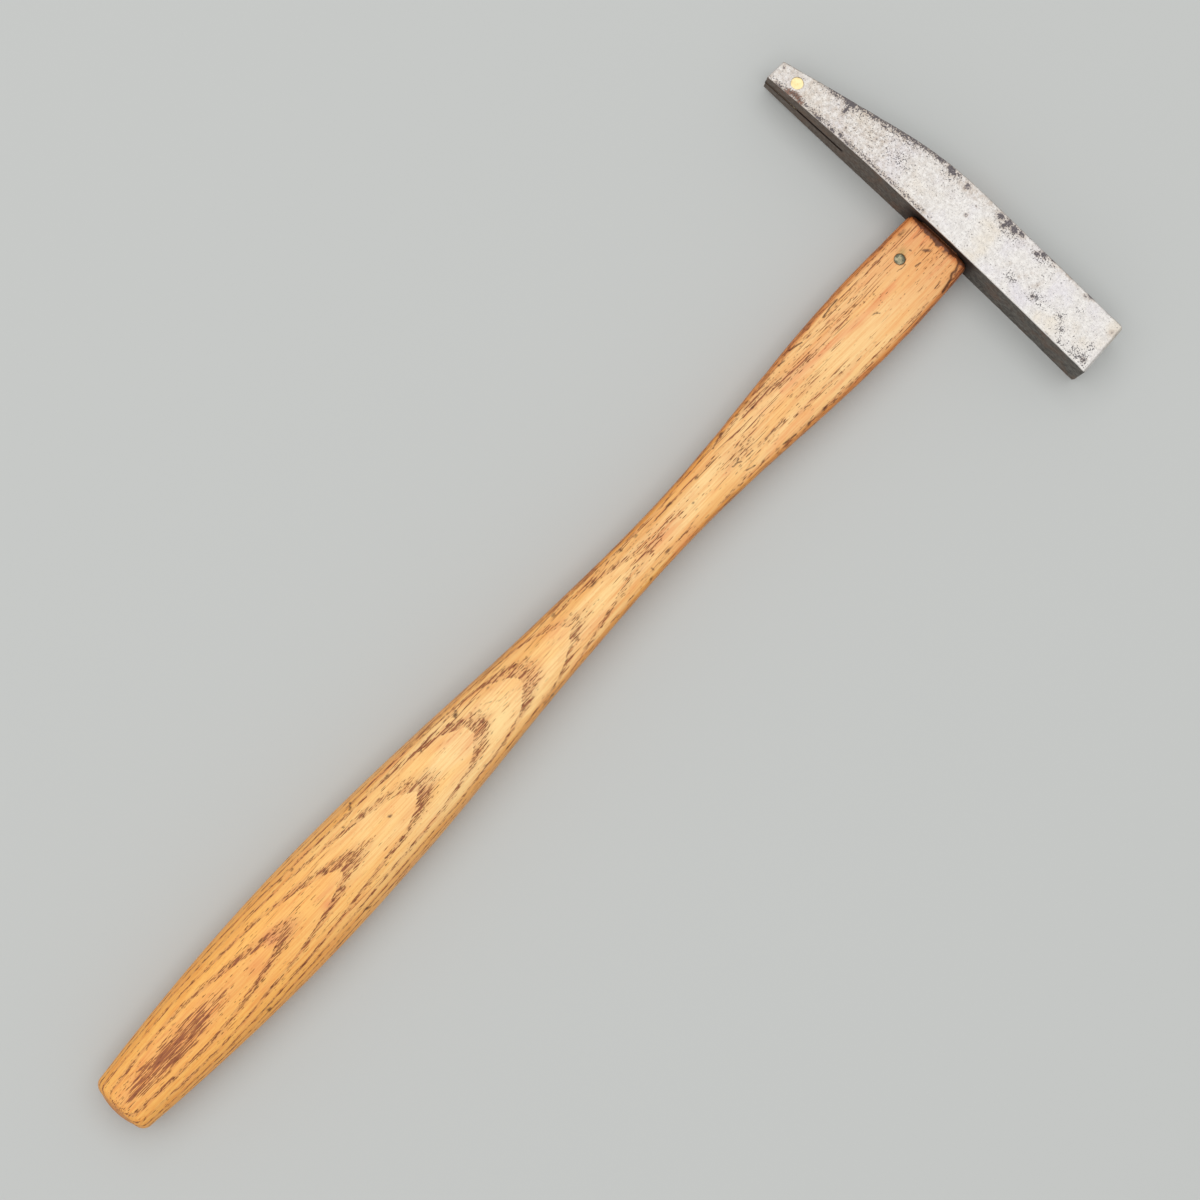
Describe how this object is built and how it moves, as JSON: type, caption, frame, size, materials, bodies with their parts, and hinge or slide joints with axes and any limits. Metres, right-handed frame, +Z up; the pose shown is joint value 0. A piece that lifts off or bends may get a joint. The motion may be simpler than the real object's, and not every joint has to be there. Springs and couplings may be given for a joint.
{
  "type": "magnetic tack hammer",
  "caption": "Light hammer with a slim steel head, square face, split magnetic tip with brass spacer, and waisted ash handle for setting and driving tacks.",
  "frame": {"origin": "under the middle of the hammer's box as it lies on its cheek, in the plane that the belly of the grip rests on", "axes": "+X along the handle from the butt to the head, +Y along the head to its magnetic tip, +Z up out of the upper cheek"},
  "size_m": [0.3228, 0.1132, 0.0164],
  "materials": {
    "head_steel": "bright worn steel with dark patches and fine pitting",
    "rivet_brass": "bright flush brass",
    "spacer_brass": "tarnished brass",
    "handle_ash": "oiled ash with open dark pores",
    "wedge_wood": "end grain, dark with age",
    "pin_metal": "grey-green patina"
  },
  "bodies": {
    "root": {"head": "head_steel", "pole_spacer": "spacer_brass", "spacer_rivet": "rivet_brass", "handle": "handle_ash", "eye_wedge": "wedge_wood", "neck_pin": "pin_metal"}
  },
  "joints": []
}
